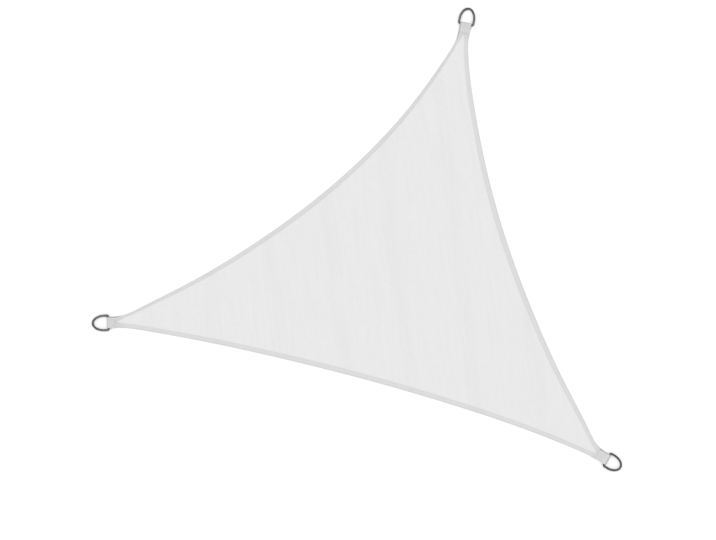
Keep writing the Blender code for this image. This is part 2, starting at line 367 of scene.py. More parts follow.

# %% [markdown]
# ## How high the cloth lies
#
# The sail rests on the floor, but it is not a plate. At each corner it climbs a webbing's thickness to pass
# between the two layers of its tab, and the pull of the ring leaves a few soft creases that run out from the
# neck and die away in the cloth. They are placed one by one, uneven, in a short table: the corner, the angle
# off its axis, where the crease starts and fades, its width and its height.

# %% Lift of the cloth off the floor
Crease = namedtuple("Crease", "corner turn_deg start reach width height")
CREASES = (
    Crease("left", -9.0, 0.050, 0.34, 0.016, 0.0011),
    Crease("left", -2.5, 0.060, 0.22, 0.012, 0.0007),
    Crease("left", 6.0, 0.045, 0.40, 0.015, 0.0010),
    Crease("left", 13.0, 0.090, 0.20, 0.014, 0.0006),
    Crease("right", -12.0, 0.085, 0.25, 0.014, 0.0008),
    Crease("right", -3.0, 0.075, 0.36, 0.016, 0.0011),
    Crease("right", 7.0, 0.090, 0.22, 0.013, 0.0007),
    Crease("peak", -8.0, 0.060, 0.30, 0.014, 0.0010),
    Crease("peak", 1.0, 0.070, 0.38, 0.016, 0.0010),
    Crease("peak", 9.5, 0.080, 0.20, 0.012, 0.0006),
)


def lift_at(points):
    """Height of the cloth's underside above the floor, for rows of plan points."""
    lift = np.zeros(len(points))
    for corner in CORNERS:
        away = from_bar(corner.name, points) - corner.tab_end - GAP
        lift = np.maximum(lift, CLOTH_RISE * (1 - smoothstep(away / RAMP_LENGTH)))
    for crease in CREASES:
        origin = corner_point(crease.corner, 0.0, 0.0)
        line = turned(AXES[crease.corner], radians(crease.turn_deg))
        along = (points - origin) @ line
        across = (points - origin) @ turned(line, pi / 2)
        width = crease.width * (1 + along / crease.reach)
        fade = smoothstep((along - crease.start) / (2 * crease.width))
        fade = fade * (1 - smoothstep((along - crease.start) / crease.reach))
        lift = lift + crease.height * fade * np.exp(-((across / width) ** 2))
    return lift


print(f"{len(CREASES)} creases, the highest {max(c.height for c in CREASES) / MM:.1f} mm")

# %% [markdown]
# ## The sheet: folded hems
#
# A hem is the cloth itself, folded back on its own face. Across it, from outside in, the surface turns over
# the fold as a half round, dips at the first row of stitches, swells a little, dips at the second row and
# ends in a soft lip above the single cloth. One column of these heights is repeated along each edge, on top
# and underneath, so that the hem has a true thickness all round.
#
# Each point also remembers where it lay in the flat cut cloth, measured over the surface. For the folded
# layer that is on the other side of the fold, so the knit turns over with it, as it does on the real sail.
# A second map says how far from the hem's nearer end, and how far from its fold, a point lies.

# %% Heights across a hem
FOLD_ROWS = np.array([0.0, 0.2, 0.6, 1.0, 1.5, 2.7, 3.4, 4.0, 4.6, 5.3]) * MM
LIP_ROWS = np.array([5.3, 4.6, 4.0, 3.4, 2.7, 1.6, 0.9, 0.45, 0.15, 0.0]) * MM
SWELL_ROWS = 3
UNDER_SWELL_ROWS = 1
UNDER_FOLD_ROWS = np.array([0.0, 0.2, 0.6, 1.5, 3.0, 4.0, 5.0]) * MM
UNDER_LIP_ROWS = np.array([5.0, 4.0, 3.0, 0.0]) * MM
STITCH_INSET = 4.0 * MM  # each row of stitches from the fold, and from the lip
GROOVE_DEPTH = 0.42 * MM
GROOVE_WIDTH = 0.80 * MM
UNDER_GROOVE = 0.30 * MM
SWELL = 0.14 * MM
# Slow waves along a seam: how large, how many radians in a metre, and where they start.
WANDER_WAVES = ((0.22 * MM, 41.0, 0.6), (0.16 * MM, 97.0, 2.1))
SWELL_WAVES = ((0.45, 63.0, 0.0), (0.35, 151.0, 1.0))
LIP_RADIUS = 1.3 * MM
FOLD_RADIUS = HEM_THICKNESS / 2
NECK_CREASE = 2.1 * MM  # height of the line down a neck's middle, where its two hems meet
OFF_HEM = 1.0  # what the hem map's second value is on single cloth


def row_places(width, fold_rows, lip_rows, swell_rows):
    """Distance of each row from the fold, for each column."""
    between = np.linspace(0.0, 1.0, swell_rows + 2)[1:-1]
    start, end = fold_rows[-1], width[:, None] - lip_rows[0]
    fold = np.broadcast_to(fold_rows, (len(width), len(fold_rows)))
    return np.hstack([fold, start + (end - start) * between, width[:, None] - lip_rows])


def round_drop(distance, radius):
    """How far a quarter round lies below its flat, at a distance in from its edge."""
    short = radius - np.clip(distance, 0.0, radius)
    return radius - np.sqrt(radius**2 - short**2)


def grooves(place, width, wander):
    near = np.exp(-(((place - STITCH_INSET - wander) / GROOVE_WIDTH) ** 2))
    return near + np.exp(-(((width - place - STITCH_INSET + wander) / GROOVE_WIDTH) ** 2))


def waves(run, table):
    return sum(size * np.sin(run * pace + start) for size, pace, start in table)


def sewing_wander(run):
    """The slow sideways drift of a seam guided by hand."""
    return waves(run, WANDER_WAVES)


def hem_top(columns, place):
    width, beyond = columns.width[:, None], columns.beyond[:, None]
    height = HEM_THICKNESS - round_drop(place, FOLD_RADIUS) - round_drop(width - place, LIP_RADIUS)
    height = height - GROOVE_DEPTH * grooves(place, width, sewing_wander(columns.run)[:, None])
    swell = np.sin(pi * np.clip((place - STITCH_INSET) / (width - 2 * STITCH_INSET), 0, 1))
    uneven = 1 + waves(columns.run, SWELL_WAVES)[:, None]
    height = height + SWELL * swell * uneven * smoothstep(beyond / COLUMN_TURN)
    foot = CLOTH_THICKNESS + (NECK_CREASE - CLOTH_THICKNESS) * smoothstep(-columns.beyond / NECK_START)
    height[:, -1] = foot
    return height


def hem_under(columns, place):
    groove = UNDER_GROOVE * grooves(place, columns.width[:, None], sewing_wander(columns.run)[:, None])
    height = round_drop(place, FOLD_RADIUS) + groove
    height[:, -1] = 0.0
    return height


print(f"a column has {len(FOLD_ROWS) + SWELL_ROWS + len(LIP_ROWS)} points on top")

# %% Hem strips
Strip = namedtuple("Strip", "points faces first_map second_map")  # a part of a sheet, with its two maps


def grid_faces(columns, rows):
    """Quads of points stored column by column, anticlockwise seen from above."""
    first = np.arange(columns - 1)[:, None] * rows + np.arange(rows - 1)[None, :]
    return np.stack([first, first + rows, first + rows + 1, first + 1], axis=-1).reshape(-1, 4)


def over_surface(place, height):
    """Distance of each row from the fold, measured over the surface instead of in plan."""
    steps = np.hypot(np.diff(place, axis=1), np.diff(height, axis=1))
    return np.hstack([np.zeros((len(place), 1)), np.cumsum(steps, axis=1)])


def hem_strip(columns, on_top):
    """One side of one hem."""
    if on_top:
        place = row_places(columns.width, FOLD_ROWS, LIP_ROWS, SWELL_ROWS)
        height = hem_top(columns, place)
    else:
        place = row_places(columns.width, UNDER_FOLD_ROWS, UNDER_LIP_ROWS, UNDER_SWELL_ROWS)
        height = hem_under(columns, place)
    plan = columns.outer[:, None] + columns.inward[:, None] * place[..., None]
    lift = lift_at(plan.reshape(-1, 2)).reshape(place.shape)
    points = np.dstack([plan, lift + height])
    over = over_surface(place, height)
    over = -over if on_top else over * (columns.width / over[:, -1])[:, None]
    cut = columns.outer[:, None] + columns.inward[:, None] * over[..., None]
    from_end = np.minimum(columns.run, columns.run[-1] - columns.run)
    run = np.broadcast_to(from_end[:, None], place.shape)
    faces = grid_faces(*place.shape)
    return Strip(
        points.reshape(-1, 3),
        faces if on_top else faces[:, ::-1],
        cut.reshape(-1, 2),
        np.dstack([run, place]).reshape(-1, 2),
    )


TOP_STRIPS = [hem_strip(columns, True) for columns in COLUMNS]
UNDER_STRIPS = [hem_strip(columns, False) for columns in COLUMNS]
print("hem faces:", sum(len(strip.faces) for strip in TOP_STRIPS + UNDER_STRIPS))

# %% [markdown]
# ## The sheet: single cloth
#
# Between the hems lies one layer of cloth. Its border is the hems' last row of points. Inside, points are
# spread in rows beside the hems, where the surface changes most, and in an even grid over the rest, turned
# to the knit. A constrained triangulation joins them, which suits an outline with three long thin points
# better than a bent rectangular grid would.

# %% Single cloth
KNIT_TURN = radians(22.1)  # the knit's ribs run this far anticlockwise of +Y
GRID_STEP = 12 * MM
# Rows beside the hems: how far from them, and a point at every how many columns.
BESIDE_HEM = ((2.5 * MM, 1), (6.0 * MM, 1), (11.0 * MM, 2), (17.0 * MM, 3))
KEPT_OFFSET = 0.9  # a point that lies nearer the hems than this share of its offset is left out
CLEAR_OF_HEM = 22 * MM
GRID_REACH = 1.5  # times the outline's farthest point, so that the turned grid covers it
LINE_SHARES = 12  # a long line is measured from in shares, to spare memory
JOIN_WITHIN = 1e-7


def last_row(strip, columns):
    rows = len(strip.points) // len(columns.run)
    return strip.points.reshape(-1, rows, 3)[:, -1]


def open_part(columns, values):
    """The columns from the point of the single cloth at one corner up to, not including, that at the next."""
    first, last = columns.neck_steps
    return values[first : len(values) - 1 - last]


def distance_to(points, line):
    """Distance of each point from the nearest of a line's points."""
    nearest = np.full(len(points), np.inf)
    for part in np.array_split(line, LINE_SHARES):
        gaps = np.linalg.norm(points[:, None] - part[None], axis=2)
        nearest = np.minimum(nearest, gaps.min(axis=1))
    return nearest


def inside(points, outline):
    """True for points within the closed outline, by counting crossings of a ray along +X."""
    crossings = np.zeros(len(points), int)
    for (ax, ay), (bx, by) in zip(outline, np.roll(outline, -1, axis=0)):
        spans = (ay > points[:, 1]) != (by > points[:, 1])
        if spans.any():
            at = ax + (points[:, 1] - ay) / (by - ay if by != ay else 1.0) * (bx - ax)
            crossings += spans & (points[:, 0] < at)
    return crossings % 2 == 1


def grid_points(outline):
    """A grid of equilateral triangles, turned to the knit, over the whole outline."""
    count = ceil(np.abs(outline).max() * GRID_REACH / GRID_STEP)
    i, j = np.meshgrid(np.arange(-count, count), np.arange(-count, count))
    x = (i + 0.5 * (j % 2)) * GRID_STEP
    y = j * GRID_STEP * sin(radians(60))
    return turned(np.stack([x.ravel(), y.ravel()], axis=1), KNIT_TURN)


border = np.vstack([open_part(c, last_row(s, c))[:, :2] for c, s in zip(COLUMNS, TOP_STRIPS)])
grid = grid_points(border)
grid = grid[inside(grid, border)]
free_points = [grid[distance_to(grid, border) > CLEAR_OF_HEM]]
for offset, every in BESIDE_HEM:
    lines = [(c, last_row(s, c)[:, :2] + c.inward * offset) for c, s in zip(COLUMNS, TOP_STRIPS)]
    row = np.vstack([open_part(c, line)[::every] for c, line in lines])
    row = row[inside(row, border)]
    free_points.append(row[distance_to(row, border) > KEPT_OFFSET * offset])
plan = np.vstack([border, *free_points])
joined = geometry.delaunay_2d_cdt([Vector(p) for p in plan], [], [list(range(len(border)))], 1, JOIN_WITHIN)
sources = np.array([source[0] for source in joined[3]])
panel_faces = sources[np.array(joined[2])]
panel_lift = lift_at(plan)
print(f"single cloth: {len(plan)} points, {len(panel_faces)} triangles")

# %% [markdown]
# ## The sheet: one closed mesh
#
# The strips, the two faces of the single cloth and the cut ends of the necks are now joined along the points
# that they share. What comes out is one closed piece of cloth with its faces outwards.

# %% Join the sheet
MERGE_WITHIN = 2e-6
SHEET_SHARP_DEG = 40.0  # a bend sharper than this is shaded as an edge
STRIP_SHARP_DEG = 60.0


def cut_end(columns, top, under, at):
    """The cut end of half a neck: down the column on top, back along the one underneath."""
    rows_top = top.points.reshape(len(columns.run), -1, 3)[at]
    rows_under = under.points.reshape(len(columns.run), -1, 3)[at]
    ring = np.vstack([rows_top, rows_under[:0:-1]])
    return ring if at == 0 else ring[::-1]


def plain_map(points):
    return np.column_stack([np.zeros(len(points)), np.full(len(points), OFF_HEM)])


def sheet_parts():
    parts = list(TOP_STRIPS) + list(UNDER_STRIPS)
    top = np.column_stack([plan, panel_lift + CLOTH_THICKNESS])
    under = np.column_stack([plan, panel_lift])
    parts.append(Strip(top, panel_faces, plan, plain_map(plan)))
    parts.append(Strip(under, panel_faces[:, ::-1], plan, plain_map(plan)))
    for columns, over, below in zip(COLUMNS, TOP_STRIPS, UNDER_STRIPS):
        for at in (0, -1):
            ring = cut_end(columns, over, below, at)
            parts.append(Strip(ring, np.arange(len(ring))[None], ring[:, :2], plain_map(ring)))
    return parts


def mesh_from(name, parts, map_names):
    """One mesh from parts, with a value of each map for every corner of every face; shared points merged."""
    points, faces, maps, count = [], [], [[] for _ in map_names], 0
    for part in parts:
        points.append(part.points)
        faces += (part.faces + count).tolist()
        for kept, values in zip(maps, part[2:]):
            kept.append(values[part.faces.reshape(-1)])
        count += len(part.points)
    data = bpy.data.meshes.new(name)
    data.from_pydata(np.vstack(points).tolist(), [], faces)
    for map_name, kept in zip(map_names, maps):
        layer = data.uv_layers.new(name=map_name)
        layer.data.foreach_set("uv", np.vstack(kept).astype(np.float32).ravel())
    mesh = bmesh.new()
    mesh.from_mesh(data)
    bmesh.ops.remove_doubles(mesh, verts=mesh.verts, dist=MERGE_WITHIN)
    mesh.to_mesh(data)
    open_edges = sum(not edge.is_manifold for edge in mesh.edges)
    print(f"{name}: {len(mesh.faces)} faces, {open_edges} open edges, {mesh.calc_volume() * 1e6:.0f} cm3")
    mesh.free()
    return data


def add_piece(name, data, material, sharp_deg):
    data.shade_smooth()
    data.set_sharp_from_angle(angle=radians(sharp_deg))
    data.materials.clear()
    data.materials.append(material)
    piece = bpy.data.objects.new(name, data)
    scene.collection.objects.link(piece)
    return piece


def mark_neck_fold_shadows(data):
    """A value on each point of the cloth for its painted fold shadow: 1 on the shadowed side of a neck, 0
    past the end of its line.
    """
    places = np.empty(3 * len(data.vertices))
    data.vertices.foreach_get("co", places)
    plan_places = places.reshape(-1, 3)[:, :2]
    fold_shadowed = np.zeros(len(plan_places))
    for name, line in NECK_FOLD_SHADOWS.items():
        left_of_axis = (plan_places - PLACES[name]) @ turned(AXES[name], pi / 2)
        fading = 1 - smoothstep((from_bar(name, plan_places) - line.end + NECK_FOLD_SHADOW_FADE) / NECK_FOLD_SHADOW_FADE)
        fold_shadowed = np.maximum(fold_shadowed, fading * (left_of_axis * line.side > 0))
    data.attributes.new("neck_fold_shadow", "FLOAT", "POINT").data.foreach_set("value", fold_shadowed.astype(np.float32))


sheet_mesh = mesh_from("sail_sheet", sheet_parts(), ("cut_cloth", "hem_place"))
mark_neck_fold_shadows(sheet_mesh)

# %% [markdown]
# ## Shader helpers
#
# The finishes are small sums: bands, ridges and dips worked out from a place on the cloth. A wire is what a
# node gives out, and arithmetic on wires adds Math nodes, so that a formula can be read as a formula.

# %% Wires and nodes
class Wire:
    """One output of a node, in the tree that it belongs to."""

    def __init__(self, nodes, socket):
        self.nodes, self.socket = nodes, socket

    def __add__(self, other):
        return self.nodes.math("ADD", self, other)

    def __sub__(self, other):
        return self.nodes.math("SUBTRACT", self, other)

    def __rsub__(self, other):
        return self.nodes.math("SUBTRACT", other, self)

    def __mul__(self, other):
        return self.nodes.math("MULTIPLY", self, other)

    def __truediv__(self, other):
        return self.nodes.math("DIVIDE", self, other)

    __radd__, __rmul__ = __add__, __mul__

    def beside(self, name):
        """Another output of the same node."""
        return Wire(self.nodes, self.socket.node.outputs[name])


class Nodes:
    """A node tree, with one short call for each kind of node that is added."""

    def __init__(self, tree):
        self.tree = tree

    def feed(self, socket, value):
        if isinstance(value, Wire):
            self.tree.links.new(value.socket, socket)
        else:
            socket.default_value = value

    def add(self, kind, inputs=None, output=0, **settings):
        """A new node with its settings and inputs; gives one of its outputs."""
        made = self.tree.nodes.new(kind)
        for setting, value in settings.items():
            setattr(made, setting, value)
        for key, value in (inputs or {}).items():
            self.feed(made.inputs[key], value)
        return Wire(self, made.outputs[output])

    def math(self, operation, *values):
        return self.add("ShaderNodeMath", dict(enumerate(values)), operation=operation)

    def rising(self, value, low, high):
        """0 up to low, 1 from high, smooth between."""
        inputs = {"Value": value, "From Min": low, "From Max": high}
        return self.add("ShaderNodeMapRange", inputs, "Result", interpolation_type="SMOOTHSTEP")

    def falling(self, value, low, high):
        """1 up to low, 0 from high, smooth between."""
        return 1.0 - self.rising(value, low, high)

    def vector(self, x, y, z=0.0):
        return self.add("ShaderNodeCombineXYZ", {"X": x, "Y": y, "Z": z})

    def split(self, vector):
        x = self.add("ShaderNodeSeparateXYZ", {0: vector}, "X")
        return x, x.beside("Y")

    def noise(self, vector, scale, detail):
        return self.add("ShaderNodeTexNoise", {"Vector": vector, "Scale": scale, "Detail": detail}, "Fac")

    def stretched(self, vector, scale, turn=0.0):
        """The vector turned about Z, then scaled on each axis."""
        return self.add("ShaderNodeMapping", {"Vector": vector, "Rotation": (0.0, 0.0, turn), "Scale": scale})

    def uv_map(self, name):
        return self.add("ShaderNodeUVMap", uv_map=name)

    def object_place(self):
        return self.add("ShaderNodeTexCoord", output="Object")


def open_tree(tree, inputs, outputs):
    """Gives a tree its named sockets. Returns its nodes, what it is given, and the sockets that it fills."""
    for socket_name, kind, value in inputs:
        socket = tree.interface.new_socket(socket_name, in_out="INPUT", socket_type=f"NodeSocket{kind}")
        if value is not None:
            socket.default_value = value
    for socket_name, kind in outputs:
        tree.interface.new_socket(socket_name, in_out="OUTPUT", socket_type=f"NodeSocket{kind}")
    nodes = Nodes(tree)
    given = {socket.name: Wire(nodes, socket) for socket in tree.nodes.new("NodeGroupInput").outputs}
    return nodes, given, tree.nodes.new("NodeGroupOutput").inputs


def new_group(name, numbers, outputs):
    """A shader node group that works from a place and some numbers, and gives numbers out."""
    tree = bpy.data.node_groups.new(name, "ShaderNodeTree")
    inputs = [("Place", "Vector", None), *((key, "Float", value) for key, value in numbers.items())]
    return open_tree(tree, inputs, [(key, "Float") for key in outputs])


print("node helpers ready")

# %% [markdown]
# ## The knit
#
# Shade cloth is a warp knit. Chains of small loops run up the cloth as narrow ribs, and flat tapes zigzag
# between neighbouring ribs, crossing each other and leaving rows of pinholes. The group below works that out
# from a place in the cut cloth, turned so that its Y runs along the ribs. It gives a height for the bump, and
# a tone with painted shade, a little darker in the pinholes, between the loops and on the lower tapes, and
# with a small random difference from tape to tape. Its numbers are shares of a rib's pitch, of a loop's
# pitch, or of the knit's full height.

# %% Knit group
RIB_PITCH = 3.6 * MM
LOOP_PITCH = 2.8 * MM


def make_knit_group():
    numbers = {"Rib Pitch": RIB_PITCH, "Loop Pitch": LOOP_PITCH, "Wobble": 0.35}
    nodes, given, made = new_group("warp_knit", numbers, ("Height", "Tone"))
    place = given["Place"]
    x, y = nodes.split(place)
    across = x / given["Rib Pitch"] + (nodes.noise(place, 45.0, 1.0) - 0.5) * given["Wobble"]
    along = y / given["Loop Pitch"] + (nodes.noise(place, 70.0, 1.0) - 0.5) * given["Wobble"]
    aside = nodes.math("ABSOLUTE", nodes.math("FRACT", across) - 0.5) * 2.0
    # A rib is a round chain. Its loops are two strands that meet in a row of chevrons.
    rib = nodes.falling(aside, 0.34, 0.50)
    roundness = 1.0 - nodes.math("POWER", nodes.math("MINIMUM", aside, 0.5), 2.0) * 2.2
    chevron = nodes.math("FRACT", along + aside * -1.15)
    strand = 1.0 - nodes.math("POWER", chevron * 2.0 - 1.0, 2.0)
    parting = nodes.falling(aside, 0.0, 0.09)
    rib_height = rib * roundness * (0.66 + strand * 0.34) - parting * 0.14
    # Two sets of flat tapes zigzag between the ribs, one passing over the other.
    lean = nodes.math("PINGPONG", across, 1.0) * 2.0 - 1.0
    tapes = []
    for slope in (0.5, -0.5):
        slanted = along * 0.5 + lean * slope
        middle = nodes.math("ABSOLUTE", nodes.math("FRACT", slanted) - 0.5)
        one = nodes.vector(nodes.math("FLOOR", slanted), nodes.math("FLOOR", across))
        chance = nodes.add("ShaderNodeTexWhiteNoise", {"Vector": one}, "Value", noise_dimensions="2D")
        tapes.append((nodes.falling(middle, 0.27, 0.41), middle, chance))
    (over, over_middle, over_chance), (below, below_middle, below_chance) = tapes
    over_height = over * (0.58 - over_middle * 0.35)
    below_height = below * (0.40 - below_middle * 0.30)
    height = nodes.math("MAXIMUM", rib_height, nodes.math("MAXIMUM", over_height, below_height))
    # Painted shade: the pinholes, the creases between loops and the lower tapes are a little darker. Each
    # tape also differs a little in tone at random.
    open_part = (1.0 - rib) * (1.0 - over)
    pinhole_shade = open_part * (1.0 - below)
    crease = rib * (1.0 - strand)
    shade = pinhole_shade * 0.24 + crease * 0.05
    shade = shade + open_part * below * (0.02 + below_chance * 0.05)
    shade = shade + over * (1.0 - rib) * (over_chance * 0.05)
    nodes.feed(made["Height"], height)
    nodes.feed(made["Tone"], 1.0 - shade)
    return nodes.tree


knit_group = make_knit_group()
print("knit group:", len(knit_group.nodes), "nodes")

# %% [markdown]
# ## Unevenness
#
# No cloth is one flat tone. Tapes differ slightly from bobbin to bobbin, which shows as faint streaks along
# the ribs, a few of them recurring across the width, and handling leaves cloudy patches. The same group
# serves the webbing, the thread and the steel, each with its own strengths.

# %% Uneven tone group
BAND_SPACING = 0.25


def make_uneven_group():
    lengths = {"Streak Width": 0.014, "Streak Length": 0.30, "Band Spacing": BAND_SPACING}
    strengths = {"Streaks": 0.02, "Clouds": 0.02, "Bands": 0.0, "Band Shift": 0.0}
    nodes, given, made = new_group("uneven_tone", {**lengths, **strengths}, ("Tone",))
    place = given["Place"]
    x, y = nodes.split(place)
    streak = nodes.noise(nodes.vector(x / given["Streak Width"], y / given["Streak Length"]), 1.0, 3.0) - 0.5
    cloud = nodes.noise(place, 9.0, 4.0) - 0.5
    drift = nodes.noise(place, 2.2, 1.0) * 0.16
    turn = (x / given["Band Spacing"] + given["Band Shift"] + drift) * (2 * pi)
    band = nodes.rising(nodes.math("COSINE", turn), 0.55, 1.0)
    tone = 1.0 + streak * given["Streaks"] + cloud * given["Clouds"] - band * given["Bands"]
    nodes.feed(made["Tone"], tone)
    return nodes.tree


uneven_group = make_uneven_group()


def uneven_tone(nodes, place, strengths):
    """The group's tone on one finish, with that finish's own strengths and sizes."""
    return nodes.add("ShaderNodeGroup", {"Place": place, **strengths}, "Tone", node_tree=uneven_group)


print("uneven tone group:", len(uneven_group.nodes), "nodes")

# %% [markdown]
# ## Shade cloth
#
# White tape yarn, matt, with a soft sheen at low angles. The hem is two layers thick, so less of the pale
# floor shines through it; that is painted into its colour, which reads a little darker, the more so in the
# necks, where the cloth is packed tight. Over the fold a painted shade darkens it further, and beside each
# neck a painted shadow runs along the fold on one side. The bump carries the knit and the small puckers that
# each stitch pulls into it.

# %% Shade cloth material
CLOTH_COLOUR = (0.738, 0.738, 0.738)
# How much light each darker part keeps.
HEM_SHADE = 0.888
FOLD_SHADE = 0.955
NECK_SHADE = 0.925
# painted shadow along the fold on one side of each neck
PAINTED_FOLD_SHADOW = 0.60
# Where each darker part begins to fade and where it has gone.
FOLD_FADE = (0.5 * MM, 6.0 * MM)  # from the fold
PAINTED_FOLD_SHADOW_FADE = (2.0 * MM, 4.5 * MM)  # from the fold
NECK_FADE = (20.0 * MM, 62.0 * MM)  # from the end of the hem
CLOTH_STREAKS = {"Streaks": 0.07, "Clouds": 0.02, "Streak Width": 14.0 * MM, "Streak Length": 0.22}
CLOTH_BANDS = {"Bands": 0.014, "Band Shift": 0.24}
KNIT_BUMP = 0.42 * MM
STITCH_PITCH = 5.0 * MM
PUCKER = 0.25  # of the knit's height


def shaded(tone, *parts):
    """A tone darkened on each part, a part being a mask and the share of light that it keeps."""
    for mask, kept in parts:
        tone = tone * (1.0 + mask * (kept - 1.0))
    return tone


def finish(nodes, shader, colour, tone, roughness, height, bump, strength=1.0):
    """Feeds a shader its toned colour, its roughness and a bump that is so many metres high."""
    toned = nodes.add("ShaderNodeVectorMath", {0: colour, "Scale": tone}, operation="SCALE")
    nodes.feed(shader.inputs["Base Color"], toned)
    nodes.feed(shader.inputs["Roughness"], roughness)
    normal = nodes.add("ShaderNodeBump", {"Strength": strength, "Distance": bump, "Height": height})
    nodes.feed(shader.inputs["Normal"], normal)


def make_cloth_material():
    gloss = {"Roughness": 0.78, "IOR": 1.45, "Specular IOR Level": 0.3}
    sheen = {"Sheen Weight": 0.12, "Sheen Roughness": 0.5}
    material, shader = plain_material("knitted_shade_cloth", CLOTH_COLOUR, {**gloss, **sheen})
    nodes = Nodes(material.node_tree)
    place = nodes.stretched(nodes.uv_map("cut_cloth"), (1.0, 1.0, 1.0), -KNIT_TURN)
    knit = nodes.add("ShaderNodeGroup", {"Place": place}, "Height", node_tree=knit_group)
    uneven = uneven_tone(nodes, place, {**CLOTH_STREAKS, **CLOTH_BANDS})
    run, from_fold = nodes.split(nodes.uv_map("hem_place"))
    # The hem and its necks are painted darker where less floor shines through, and a painted shade lies over
    # the fold.
    hem = nodes.falling(from_fold, 0.5 * OFF_HEM, 0.6 * OFF_HEM)
    fold = hem * nodes.falling(from_fold, *FOLD_FADE)
    neck = hem * nodes.falling(run, *NECK_FADE)
    # A painted shadow on the fold, on one side of each neck.
    fold_shadow_side = nodes.add("ShaderNodeAttribute", output="Fac", attribute_name="neck_fold_shadow")
    fold_shadowed = hem * nodes.falling(from_fold, *PAINTED_FOLD_SHADOW_FADE) * fold_shadow_side
    darker = ((hem, HEM_SHADE), (fold_shadowed, PAINTED_FOLD_SHADOW), (fold, FOLD_SHADE), (neck, NECK_SHADE))
    tone = shaded(knit.beside("Tone") * uneven, *darker)
    pucker = nodes.math("COSINE", run * (2 * pi / STITCH_PITCH)) * (hem * PUCKER)
    finish(nodes, shader, CLOTH_COLOUR, tone, 0.86 - knit * 0.26, knit + pucker, KNIT_BUMP)
    return material


cloth_material = make_cloth_material()
sail = add_piece("sail_sheet", sheet_mesh, cloth_material, SHEET_SHARP_DEG)
print("cloth colour", CLOTH_COLOUR[0], "hem shade", HEM_SHADE)

# %% [markdown]
# ## Stitches along the hems
#
# The hems are sewn with two rows of lockstitch in stout thread. A stitch is one short thread that rises out
# of the cloth and dives back in, repeated a few thousand times, so it is made once and set along curves with
# Geometry Nodes. The tree takes any curve: it steps along it at the stitch pitch, puts a stitch at each
# step, turned to the seam with a little unevenness, and makes the result real.

# %% Stitch row tree
THREAD_RADIUS = 0.38 * MM
STITCH_LENGTH = 4.3 * MM
STITCH_RISE = 0.62 * MM
ARCH_PARTS = 4
THREAD_SIDES = 5


def make_stitch_tree():
    inputs = (
        ("Geometry", "Geometry", None),
        ("Pitch", "Float", STITCH_PITCH),
        ("Length", "Float", STITCH_LENGTH),
        ("Rise", "Float", STITCH_RISE),
        ("Thread Radius", "Float", THREAD_RADIUS),
        ("Unevenness", "Float", 0.06),
        ("Seed", "Int", 7),
        ("Material", "Material", None),
    )
    tree = bpy.data.node_groups.new("stitch_row", "GeometryNodeTree")
    nodes, given, made = open_tree(tree, inputs, [("Geometry", "Geometry")])
    spread = given["Unevenness"]

    # One stitch, lying along X: a shallow arch of thread whose ends dive into the cloth.
    half = given["Length"] * 0.5
    dive = given["Rise"] * -0.6
    top = nodes.vector(0.0, 0.0, given["Rise"] * 1.6)
    ends = {"Start": nodes.vector(half * -1.0, 0.0, dive), "End": nodes.vector(half, 0.0, dive)}
    arch = nodes.add("GeometryNodeCurveQuadraticBezier", {"Resolution": ARCH_PARTS, "Middle": top, **ends})
    circle = {"Resolution": THREAD_SIDES, "Radius": given["Thread Radius"]}
    section = nodes.add("GeometryNodeCurvePrimitiveCircle", circle)
    swept = {"Curve": arch, "Profile Curve": section, "Fill Caps": True}
    thread = nodes.add("GeometryNodeCurveToMesh", swept)

    def uneven(centre, either_way, seed_step):
        """A random number for each stitch, evenly spread about a centre."""
        inputs = {2: centre - either_way, 3: centre + either_way, "Seed": given["Seed"] + seed_step}
        return nodes.add("FunctionNodeRandomValue", inputs, output=1, data_type="FLOAT")

    # Places along the seam, and the turn and the size of each stitch.
    seam = {"Curve": given["Geometry"], "Length": given["Pitch"]}
    steps = nodes.add("GeometryNodeResampleCurve", seam, mode="LENGTH")
    tangent = nodes.add("GeometryNodeInputTangent")
    facing = nodes.add("FunctionNodeAlignRotationToVector", {"Vector": tangent}, axis="X")
    yaw = nodes.add("FunctionNodeEulerToRotation", {0: nodes.vector(0.0, 0.0, uneven(0.0, spread, 1))})
    turn = nodes.add("FunctionNodeRotateRotation", {0: facing, 1: yaw}, rotation_space="LOCAL")
    size = nodes.vector(uneven(1.0, spread, 2), 1.0, uneven(1.0, spread * 2.0, 3))

    places = {"Points": steps, "Instance": thread, "Rotation": turn, "Scale": size}
    real = nodes.add("GeometryNodeRealizeInstances", {0: nodes.add("GeometryNodeInstanceOnPoints", places)})
    smooth = nodes.add("GeometryNodeSetShadeSmooth", {0: real})
    finished = nodes.add("GeometryNodeSetMaterial", {"Geometry": smooth, "Material": given["Material"]})
    nodes.feed(made[0], finished)
    return tree


stitch_tree = make_stitch_tree()
print("stitch tree:", len(stitch_tree.nodes), "nodes")

# %% Thread material
THREAD_COLOUR = (0.66, 0.66, 0.655)
THREAD_UNEVEN = {"Streaks": 0.10, "Clouds": 0.05, "Streak Width": 20.0 * MM, "Streak Length": 20.0 * MM}
TWIST_SCALE = 420.0
PLY_BUMP = 0.12 * MM


def make_thread_material():
    material, shader = plain_material("polyester_thread", THREAD_COLOUR, {"Sheen Weight": 0.2})
    nodes = Nodes(material.node_tree)
    place = nodes.object_place()
    tone = uneven_tone(nodes, place, THREAD_UNEVEN)
    twist = {"Vector": place, "Scale": TWIST_SCALE, "Distortion": 1.5}
    ply = nodes.add("ShaderNodeTexWave", twist, "Fac", bands_direction="DIAGONAL")
    finish(nodes, shader, THREAD_COLOUR, tone, 0.42 + ply * 0.2, ply, PLY_BUMP)
    return material


thread_material = make_thread_material()

